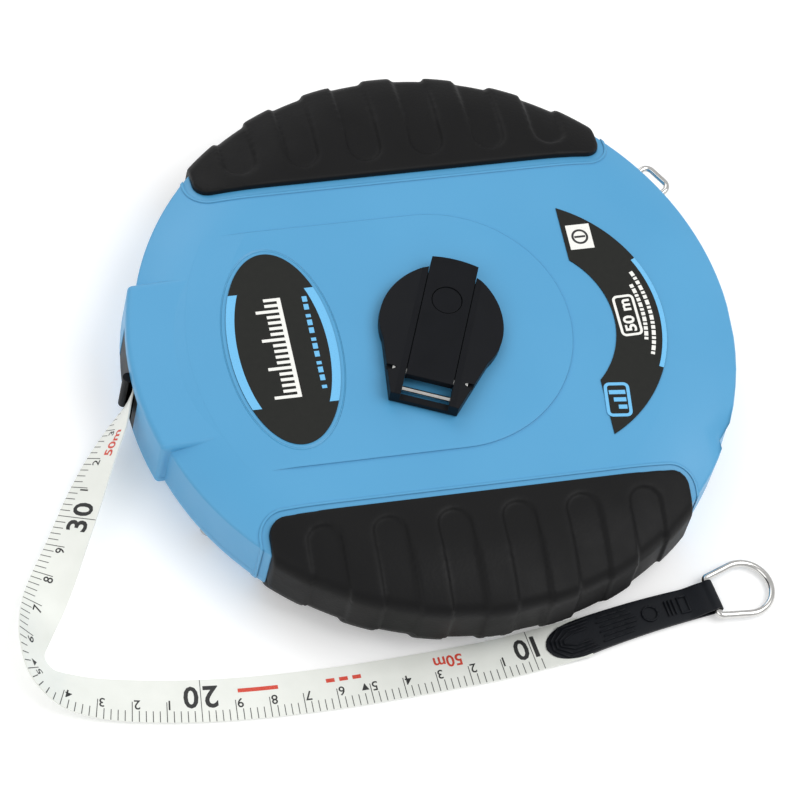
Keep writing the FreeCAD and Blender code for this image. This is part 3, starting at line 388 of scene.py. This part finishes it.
class TapeLine:
    """The tape's centreline and the way its flat side faces, by distance from the mouth in mm."""

    def __init__(self):
        curve = bpy.data.curves.new("tape_route", "CURVE")
        curve.dimensions = "3D"
        spline = curve.splines.new("NURBS")
        spline.points.add(len(TAPE_ROUTE) - 1)
        for point, (x, y, z, _) in zip(spline.points, TAPE_ROUTE):
            point.co = (x * MM, y * MM, z * MM, 1.0)
        spline.order_u = 3
        spline.use_endpoint_u = True
        spline.resolution_u = 16
        self.spots = [vertex.co / MM for vertex in mesh_of(curve).vertices]
        self.reach = [0.0]
        for a, b in zip(self.spots, self.spots[1:]):
            self.reach.append(self.reach[-1] + (b - a).length)
        self.length = self.reach[-1]
        self.rolls = self.smooth_rolls()

    def smooth_rolls(self):
        """Roll at each spot: the route's rolls at the spots nearest its points, eased between."""
        keys = []
        for x, y, z, roll in TAPE_ROUTE:
            near = min(range(len(self.spots)), key=lambda i: (self.spots[i] - Vector((x, y, z))).length)
            keys.append((self.reach[near], roll))
        rolls = []
        for reach in self.reach:
            after = next((k for k in range(1, len(keys)) if keys[k][0] >= reach), len(keys) - 1)
            (r0, a), (r1, b) = keys[after - 1], keys[after]
            share = min(1.0, max(0.0, (reach - r0) / max(r1 - r0, 1e-6)))
            rolls.append(a + (b - a) * share)
        for _ in range(4):
            rolls = [(rolls[max(i - 2, 0)] + rolls[i] + rolls[min(i + 2, len(rolls) - 1)]) / 3
                     for i in range(len(rolls))]
        return rolls

    def place(self, along, across, lift=0.0):
        """The point along the tape, across towards its inner edge, and lift above its face; metres."""
        along = min(max(along, 0.0), self.length)
        low, high = 0, len(self.reach) - 2
        while low < high:
            middle = (low + high + 1) // 2
            low, high = (middle, high) if self.reach[middle] <= along else (low, middle - 1)
        share = (along - self.reach[low]) / (self.reach[low + 1] - self.reach[low])
        spot = self.spots[low].lerp(self.spots[low + 1], share)
        before = self.spots[max(low - 1, 0)]
        after = self.spots[min(low + 2, len(self.spots) - 1)]
        heading = (self.spots[low + 1] - before).lerp(after - self.spots[low], share).normalized()
        roll = math.radians(self.rolls[low] + (self.rolls[low + 1] - self.rolls[low]) * share)
        left = Vector((0, 0, 1)).cross(heading).normalized()
        upward = heading.cross(left)
        wide = left * math.cos(roll) + upward * math.sin(roll)
        facing = upward * math.cos(roll) - left * math.sin(roll)
        return (spot + wide * across + facing * lift) * MM


tape = TapeLine()
TIP_AT = tape.length - 12.8  # the strap's tip, in mm from the mouth
TIP_READING = 95.5           # the tape's reading there, in mm


def woven_tape():
    """The ribbon outside the case, laid along its line with the printed side outwards."""
    bm = bmesh.new()
    bmesh.ops.create_grid(bm, x_segments=300, y_segments=6, size=0.5)
    layer = bm.loops.layers.uv.new("tape")
    for face in bm.faces:
        for loop in face.loops:
            flat = loop.vert.co
            loop[layer].uv = ((flat.x + 0.5) * tape.length * MM, flat.y * TAPE_WIDTH * MM)
    for vertex in bm.verts:
        flat = vertex.co.copy()
        vertex.co = tape.place((flat.x + 0.5) * tape.length, flat.y * TAPE_WIDTH, -TAPE_GAUGE / 2)
    bmesh.ops.recalc_face_normals(bm, faces=bm.faces)
    up = tape.place(tape.length, 0, 1.0) - tape.place(tape.length, 0, 0.0)
    last = max(bm.faces, key=lambda face: face.calc_center_median().x)
    if last.normal.dot(up) > 0:
        bmesh.ops.reverse_faces(bm, faces=bm.faces)
    bmesh.ops.solidify(bm, geom=bm.faces[:] + bm.edges[:] + bm.verts[:], thickness=TAPE_GAUGE * MM)
    made = piece_from(bm, "printed_tape", tape_white, "case")
    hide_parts("tape_blade")
    return made


def glyphs(words, height, weight=0.0):
    """Flat lettering as a bmesh in mm, its foot at y 0 and starting at x 0, and its width."""
    text = bpy.data.curves.new("words", "FONT")
    text.body = words
    text.offset = weight
    text.resolution_u = 3
    bm = bmesh.new()
    bm.from_mesh(mesh_of(text))
    low_x, high_x = min(v.co.x for v in bm.verts), max(v.co.x for v in bm.verts)
    low_y, high_y = min(v.co.y for v in bm.verts), max(v.co.y for v in bm.verts)
    scale = height / (high_y - low_y)
    bmesh.ops.translate(bm, verts=bm.verts, vec=(-low_x, -low_y, 0))
    bmesh.ops.scale(bm, verts=bm.verts, vec=(scale, scale, scale))
    return bm, (high_x - low_x) * scale


def bar(width, height, cuts=1):
    """A printed bar in mm with its lower left corner at the origin."""
    bm = bmesh.new()
    bmesh.ops.create_grid(bm, x_segments=1, y_segments=cuts, size=0.5)
    bmesh.ops.translate(bm, verts=bm.verts, vec=(0.5, 0.5, 0))
    bmesh.ops.scale(bm, verts=bm.verts, vec=(width, height, 1))
    return bm


def pointer(width, height):
    """A printed triangle that points down."""
    bm = bmesh.new()
    bmesh.ops.create_circle(bm, cap_ends=True, segments=3, radius=1)
    low = min(v.co.y for v in bm.verts)
    if sum(v.co.y > 0.5 for v in bm.verts) == 1:
        bmesh.ops.rotate(bm, verts=bm.verts, matrix=Matrix.Rotation(math.pi, 3, "Z"))
        low = min(v.co.y for v in bm.verts)
    bmesh.ops.translate(bm, verts=bm.verts, vec=(0, -low, 0))
    bmesh.ops.scale(bm, verts=bm.verts, vec=(width / 1.73, height / 1.5, 1))
    return bm


class Print:
    """Collects flat printed shapes in one ink, each put in place as it is added."""

    def __init__(self):
        self.bm = bmesh.new()

    def stamp(self, shape, place):
        """Adds shape, whose corners go through place(x, y) in mm to a point in metres."""
        bmesh.ops.triangulate(shape, faces=shape.faces)
        for _ in range(2):
            long = [e for e in shape.edges if e.calc_length() > 1.5]
            bmesh.ops.subdivide_edges(shape, edges=long, cuts=1)
            bmesh.ops.triangulate(shape, faces=shape.faces)
        for vertex in shape.verts:
            vertex.co = place(vertex.co.x, vertex.co.y)
        mesh = bpy.data.meshes.new("stamp")
        shape.to_mesh(mesh)
        shape.free()
        self.bm.from_mesh(mesh)
        bpy.data.meshes.remove(mesh)

    def made(self, name, ink, slot):
        return piece_from(self.bm, name, ink, "case", smooth=False)


def tape_place(reading, foot):
    """Places print on the tape: x mm towards higher readings, y mm up towards the graduated edge."""
    edge = TAPE_WIDTH / 2

    def place(x, y):
        along = TIP_AT - (reading - TIP_READING) - x
        return tape.place(along, edge - foot - y, TAPE_GAUGE / 2 + PRINT_LIFT / MM)
    return place


LINE_SHORT, LINE_LONG = 3.4, 6.2    # heights of the 2 mm and the centimetre lines, mm
FIGURE_SMALL, FIGURE_LARGE = 2.9, 6.8
RED_TEXT = 3.8


def graduations():
    """Lines every 2 mm, longer each centimetre, numbered; decimetres large with a line across."""
    grey, black, red = Print(), Print(), Print()
    first, last = 98, int(TIP_READING + TIP_AT)
    edge = TAPE_WIDTH
    for reading in range(first, last, 2):
        if reading % 100 == 0:
            grey.stamp(bar(0.22, edge - 0.1, 8), tape_place(reading - 0.11, 0.05))
        elif reading % 10 == 0:
            grey.stamp(bar(0.24, LINE_LONG, 4), tape_place(reading - 0.12, edge - LINE_LONG))
        else:
            grey.stamp(bar(0.24, LINE_SHORT, 3), tape_place(reading - 0.12, edge - LINE_SHORT))
    for reading in range(100, last - 3, 10):
        if reading % 100 == 0:
            tens, ones = str(reading // 10)
            shape, width = glyphs(tens, FIGURE_LARGE, 0.02)
            black.stamp(shape, tape_place(reading - 0.7 - width, edge - 11.0))
            shape, width = glyphs(ones, FIGURE_LARGE, 0.02)
            black.stamp(shape, tape_place(reading + 0.7, edge - 11.0))
            continue
        shape, width = glyphs(str(reading // 10 % 10), FIGURE_SMALL, 0.01)
        black.stamp(shape, tape_place(reading - 0.5 - width, edge - 6.7))
        if reading % 50 == 0:
            black.stamp(pointer(2.2, 2.2), tape_place(reading + 1.6, edge - 6.6))
    for start in (121.0, last - 21.0):
        shape, _ = glyphs("50m", RED_TEXT, 0.02)
        red.stamp(shape, tape_place(start, edge - 10.8))
    for start, width in ((152.0, 2.6), (156.0, 2.6), (160.0, 2.6), (177.0, 12.0)):
        red.stamp(bar(width, 1.2, 2), tape_place(start, edge - 9.6))
    return (grey.made("tape_lines", ink_grey, "tape"), black.made("tape_figures", ink_black, "tape"),
            red.made("tape_red_marks", ink_red, "tape"))


blade = woven_tape()
tape_marks = graduations()


# ---- end strap -----------------------------------------------------------------------------------

STRAP_LENGTH, STRAP_HALF, NECK_HALF, PLY = 52.5, 5.9, 4.9, 0.95
STRAP_HIGH = 2.2              # top of the upper ply, mm
RING_Z, RING_WIRE = 2.4, 1.15  # the ring's middle height and its wire's radius
RIDGE_RADIUS, RIDGE_Z = 0.27, 2.16


def strap_point(s, across, height):
    """A point on the strap: s mm from its tip, across it, at a height; in metres."""
    turn = Matrix.Rotation(STRAP_TURN, 3, "Z")
    return (STRAP_AT + turn @ Vector((s, across, height))) * MM


def strap_half_width(s):
    """Rounded tip, then sides that draw in towards the ring."""
    share = min(1.0, max(0.0, (s - 12.0) / (STRAP_LENGTH - 12.0)))
    half = STRAP_HALF + (NECK_HALF - STRAP_HALF) * share
    tip = min(1.0, max(0.0, s / 11.0))
    return half * max(0.12, math.sin(math.acos(1 - tip)) ** 0.9)


def strap_sway(s):
    """How far the strap's middle lies to the left of a straight line from tip to ring."""
    return 0.75 * math.sin(math.pi * max(0.0, s - 10.0) / 46.0) - 0.5 * max(0.0, 1 - s / 16.0)


def strap_side(u):
    """The middle of the ply's thickness, from the lower tip round the ring to the upper tip."""
    low, high = 0.5 * PLY, STRAP_HIGH - 0.5 * PLY
    centre, bend = Vector((STRAP_LENGTH + 1.4, RING_Z)), RING_WIRE + 0.3 + 0.5 * PLY
    flat = STRAP_LENGTH - 1.5
    arc = math.pi * 1.28 * bend
    total = 2 * flat + arc
    reach = u * total
    start = -math.pi / 2
    if reach < flat:
        share = reach / flat
        rise = max(0.0, (share - 0.9) / 0.1)
        return reach * (centre.x / flat), low + (centre.y - bend - low) * rise
    if reach > flat + arc:
        share = (total - reach) / flat
        finish = start + arc / bend
        join = centre + Vector((math.cos(finish), math.sin(finish))) * bend
        rise = max(0.0, (share - 0.86) / 0.14)
        ease = rise * rise * (3 - 2 * rise)
        return share * join.x, high + (join.y - high) * ease
    angle = start + (reach - flat) / bend
    return centre.x + math.cos(angle) * bend, centre.y + math.sin(angle) * bend


def folded_strap():
    """The strap as one strip folded round the ring, its edges a little rounded down."""
    bm = bmesh.new()
    bmesh.ops.create_grid(bm, x_segments=180, y_segments=20, size=0.5)
    for vertex in bm.verts:
        u, v = vertex.co.x + 0.5, vertex.co.y * 2
        s, height = strap_side(u)
        edge_drop = 0.25 * abs(v) ** 6
        side = 1 if height > 1.1 else -1
        across = v * strap_half_width(min(s, STRAP_LENGTH)) + strap_sway(min(s, STRAP_LENGTH))
        vertex.co = strap_point(s, across, height - side * edge_drop * 0.5)
    bmesh.ops.recalc_face_normals(bm, faces=bm.faces)
    bmesh.ops.solidify(bm, geom=bm.faces[:] + bm.edges[:] + bm.verts[:], thickness=PLY * 0.5 * MM)
    bmesh.ops.recalc_face_normals(bm, faces=bm.faces)
    made = piece_from(bm, "vinyl_strap", vinyl, "case", corner=50)
    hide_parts("end_strap")
    return made


def ridge(length):
    """One pressed ridge along X: a half-sunk bead with round ends, in mm."""
    bm = bmesh.new()
    bmesh.ops.create_cone(bm, cap_ends=True, segments=8, radius1=RIDGE_RADIUS, radius2=RIDGE_RADIUS,
                          depth=length,
                          matrix=Matrix.Rotation(math.pi / 2, 4, "Y"))
    ends = [face for face in bm.faces if abs(face.normal.x) > 0.9]
    bmesh.ops.inset_individual(bm, faces=ends, thickness=0.12, depth=0.14)
    bmesh.ops.scale(bm, verts=bm.verts, vec=(1, 1, 0.8))
    return bm


def ridge_lines():
    """Runs of the pressed pattern: nested pointed outlines at the tip, long lines, marks by the ring."""
    runs = []
    for inset in (1.0, 2.0, 3.0, 4.0):
        half = STRAP_HALF - inset
        nose = inset * 1.3 + 0.5
        end = 16.0 - inset * 0.6
        runs.append(((end, half), (nose + 3.6, half), (nose, 0.3 * half), (nose, -0.3 * half),
                     (nose + 3.6, -half), (end, -half)))
    for row in range(6):
        y = (row - 2.5) * 1.55
        runs.append(((17.4 + (row % 2) * 0.7, y), (30.0 - abs(row - 2.5), y * 0.94)))
    runs.append(tuple((34.0 + 2.4 * math.cos(math.radians(a)), 2.4 * math.sin(math.radians(a)))
                      for a in range(0, 361, 30)))
    for x0 in (39.5, 40.7, 41.9):
        runs.append(((x0, -2.4), (x0, 2.4)))
    runs.append(((43.6, -2.6), (46.2, -2.6), (46.2, 2.6), (43.6, 2.6), (43.6, -2.6)))
    for side in (-1, 1):
        runs.append(((47.8, side * (NECK_HALF - 0.9)), (50.6, side * (NECK_HALF - 0.9))))
    return runs


def pressed_ridges():
    """The pattern on the upper ply, each run cut short enough to follow the strap's sway."""
    pressed = bmesh.new()
    for run in ridge_lines():
        for (x0, y0), (x1, y1) in zip(run, run[1:]):
            length = math.hypot(x1 - x0, y1 - y0)
            count = max(1, round(length / 3.5))
            for i in range(count):
                share = (i + 0.5) / count
                one = ridge(length / count)
                turn = Matrix.Rotation(math.atan2(y1 - y0, x1 - x0), 3, "Z")
                bmesh.ops.rotate(one, verts=one.verts, matrix=turn)
                x, y = x0 + (x1 - x0) * share, y0 + (y1 - y0) * share
                for vertex in one.verts:
                    along = x + vertex.co.x
                    vertex.co = strap_point(along, y + vertex.co.y + strap_sway(along),
                                            RIDGE_Z + vertex.co.z)
                mesh = bpy.data.meshes.new("ridge")
                one.to_mesh(mesh)
                one.free()
                pressed.from_mesh(mesh)
                bpy.data.meshes.remove(mesh)
    return piece_from(pressed, "strap_ridges", vinyl, "case", corner=50)


strap = folded_strap()
ridges = pressed_ridges()
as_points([tape.place(i * tape.length / 240, 0.0) for i in range(241)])


# ---- printed labels ------------------------------------------------------------------------------

def flat_place(x0, y0, z, turn=0.0):
    """Places print on a level face: x and y in mm from (x0, y0), turned by turn degrees."""
    c, s = math.cos(math.radians(turn)), math.sin(math.radians(turn))

    def place(x, y):
        return Vector(((x0 + x * c - y * s) * MM, (y0 + x * s + y * c) * MM, z + PRINT_LIFT))
    return place


def arc_band(inner, outer, start, end):
    """A printed arc between two radii and two angles in degrees, about the origin."""
    bm = bmesh.new()
    ends = [bm.verts.new((radius, 0, 0)) for radius in (inner, outer)]
    edge = bm.edges.new(ends)
    bmesh.ops.rotate(bm, verts=bm.verts, matrix=Matrix.Rotation(math.radians(start), 3, "Z"))
    bmesh.ops.spin(bm, geom=ends + [edge], axis=(0, 0, 1), cent=(0, 0, 0),
                   angle=math.radians(end - start), steps=max(2, int(abs(end - start) / 3)))
    return bm


def rounded_frame(width, height, corner, line):
    """A printed rounded rectangle outline about the origin."""
    bm = bmesh.new()
    bmesh.ops.create_grid(bm, x_segments=1, y_segments=1, size=0.5)
    bmesh.ops.scale(bm, verts=bm.verts, vec=(width, height, 1))
    bmesh.ops.bevel(bm, geom=bm.verts[:], offset=corner, segments=5, profile=0.5,
                    affect="VERTICES", material=-1)
    inner = bmesh.ops.inset_region(bm, faces=bm.faces[:], thickness=line, use_even_offset=True,
                                    use_boundary=True)
    middle = [face for face in bm.faces if face not in inner["faces"]]
    bmesh.ops.delete(bm, geom=middle, context="FACES")
    return bm


def oval_bands():
    """Light bands along both long sides of the oval label, ended square."""
    shape = bmesh.new()
    bmesh.ops.create_circle(shape, cap_ends=True, segments=120, radius=1)
    bmesh.ops.scale(shape, verts=shape.verts, vec=(16.2, 32.5, 1))
    ring = bmesh.ops.inset_region(shape, faces=shape.faces[:], thickness=2.6, use_even_offset=True,
                                   use_boundary=True)
    bmesh.ops.delete(shape, geom=[f for f in shape.faces if f not in ring["faces"]], context="FACES")
    for side in (1, -1):
        bmesh.ops.bisect_plane(shape, geom=shape.faces[:] + shape.edges[:] + shape.verts[:],
                               plane_co=(0, side * 19.5, 0), plane_no=(0, side, 0), clear_outer=True)
    return shape


def oval_label():
    white, blue = Print(), Print()
    blue.stamp(oval_bands(), flat_place(OVAL_X, OVAL_Y, LABEL_OVAL_Z))
    # a ruler's edge along the label in place of lettering
    along = flat_place(-45.6, -17.5, LABEL_OVAL_Z, 90)
    white.stamp(bar(34.0, 1.2, 1), along)
    for i in range(18):
        tall = 8.2 if i % 5 == 0 else 5.2
        shape = bar(1.0, tall - 1.2, 2)
        bmesh.ops.translate(shape, verts=shape.verts, vec=(i * 1.94, 1.2, 0))
        white.stamp(shape, along)
    for i in range(12):
        blue.stamp(bar(1.9 if i % 3 else 1.1, 1.5, 1), flat_place(-37.6, -15.5 + i * 2.7, LABEL_OVAL_Z, 90))
    return (white.made("oval_scale_print", ink_white, "label_black"),
            blue.made("oval_bands_print", ink_blue, "label_black"))


def crescent_label():
    white, blue = Print(), Print()
    centre = flat_place(25.0, -2.0, LABEL_CRESCENT_Z)
    blue.stamp(arc_band(42.6, 44.0, -25.9, 25.9), centre)
    for radius, first, last in ((37.7, -14, 14.5), (40.0, -21, 21.5)):
        angle = first
        step = 0
        while angle < last:
            wide = (1.3, 2.4, 1.8)[step % 3]
            white.stamp(arc_band(radius - 0.6, radius + 0.6, angle, angle + wide), centre)
            angle += wide + 0.7
            step += 1
    square = flat_place(49.6, 26.6, LABEL_CRESCENT_Z, 90)
    shape = bar(8.6, 7.4, 2)
    bmesh.ops.translate(shape, verts=shape.verts, vec=(-4.3, -3.7, 0))
    white.stamp(shape, square)
    capacity = flat_place(57.8, -2.2, LABEL_CRESCENT_Z, 91)
    white.stamp(rounded_frame(14.2, 6.8, 1.6, 0.8), capacity)
    shape, width = glyphs("50 m", 3.6, 0.03)
    stretch = 11.2 / width
    bmesh.ops.scale(shape, verts=shape.verts, vec=(stretch, 1, 1))
    bmesh.ops.translate(shape, verts=shape.verts, vec=(-5.6, -1.8, 0))
    white.stamp(shape, capacity)
    badge = flat_place(48.2, -30.2, LABEL_CRESCENT_Z, 84)
    blue.stamp(rounded_frame(11.6, 7.8, 1.8, 1.0), badge)
    for i, tall in enumerate((2.6, 3.8, 5.0)):
        shape = bar(1.4, tall, 1)
        bmesh.ops.translate(shape, verts=shape.verts, vec=(-3.2 + i * 2.5, -2.5, 0))
        blue.stamp(shape, badge)
    return (white.made("crescent_white_print", ink_white, "label_black"),
            blue.made("crescent_blue_print", ink_blue, "label_black"))


def square_mark():
    """A plain ring and bar on the white square."""
    dark = Print()
    spot = flat_place(49.6, 26.6, LABEL_CRESCENT_Z + PRINT_LIFT, 90)
    dark.stamp(arc_band(1.9, 2.6, 0, 360), spot)
    shape = bar(0.7, 3.4, 1)
    bmesh.ops.translate(shape, verts=shape.verts, vec=(-0.35, -1.7, 0))
    dark.stamp(shape, spot)
    return dark.made("square_mark_print", ink_black, "label_black")


oval_label()
crescent_label()
square_mark()


# ---- floor, light and camera ---------------------------------------------------------------------

def floor():
    material, tree, shader = finish_for("floor_paint", IOR=1.45, Roughness=0.9, Emission_Strength=0.2)
    where = add(tree, "TexCoord").outputs["Object"]
    tone = add(tree, "TexNoise", None, {"Vector": where, "Scale": 3.0}).outputs["Fac"]
    painted(tree, shader, tone, "#F4F4F4", "#F7F7F7")
    bm = bmesh.new()
    bmesh.ops.create_grid(bm, x_segments=1, y_segments=1, size=3.0)
    bmesh.ops.translate(bm, verts=bm.verts, vec=(0, 0, -0.0005))
    mesh = bpy.data.meshes.new("floor")
    bm.to_mesh(mesh)
    bm.free()
    mesh.materials.append(material)
    ground = bpy.data.objects.new("floor", mesh)
    bpy.context.scene.collection.objects.link(ground)


def area_light(name, place, width, watts):
    data = bpy.data.lights.new(name, "AREA")
    data.shape = "SQUARE"
    data.size, data.energy = width, watts
    lamp = bpy.data.objects.new(name, data)
    lamp.location = place
    lamp.rotation_mode = "QUATERNION"
    lamp.rotation_quaternion = (-Vector(place)).to_track_quat("-Z", "Y")
    bpy.context.scene.collection.objects.link(lamp)


def studio():
    world = bpy.data.worlds.new("studio")
    world.use_nodes = True
    world.node_tree.nodes["Background"].inputs["Color"].default_value = colour("#FFFFFF")
    world.node_tree.nodes["Background"].inputs["Strength"].default_value = 0.6
    bpy.context.scene.world = world
    bpy.context.scene.view_settings.view_transform = "Standard"
    area_light("key", (0.9, -0.3, 1.6), 1.3, 15.5)
    area_light("side_fill", (-1.2, -0.5, 1.3), 1.2, 5.5)
    area_light("back_fill", (-0.3, 1.4, 1.2), 1.2, 6)


CAMERA_AWAY = 1.4             # from what it looks at, m
CAMERA_TURNS = (-26.10, 59.17, 16.27)  # azimuth, elevation and roll, degrees
LENS_MM, SENSOR_MM = 209.0, 36.0


def camera():
    azimuth, elevation, roll = (math.radians(turn) for turn in CAMERA_TURNS)
    away = Vector((math.sin(azimuth) * math.cos(elevation), -math.cos(azimuth) * math.cos(elevation),
                   math.sin(elevation)))
    level = Vector((math.cos(azimuth), math.sin(azimuth), 0.0))
    rise = away.cross(level)
    right = level * math.cos(roll) + rise * math.sin(roll)
    up = rise * math.cos(roll) - level * math.sin(roll)
    aim = Vector((0.0, 0.0, 0.0076)) - right * 0.00855 - up * 0.00973
    data = bpy.data.cameras.new("camera")
    data.lens, data.sensor_width = LENS_MM, SENSOR_MM
    made = bpy.data.objects.new("camera", data)
    turned = Matrix((right, up, away)).transposed().to_4x4()
    made.matrix_world = Matrix.Translation(aim + away * CAMERA_AWAY) @ turned
    bpy.context.scene.collection.objects.link(made)
    bpy.context.scene.camera = made


floor()
studio()
camera()
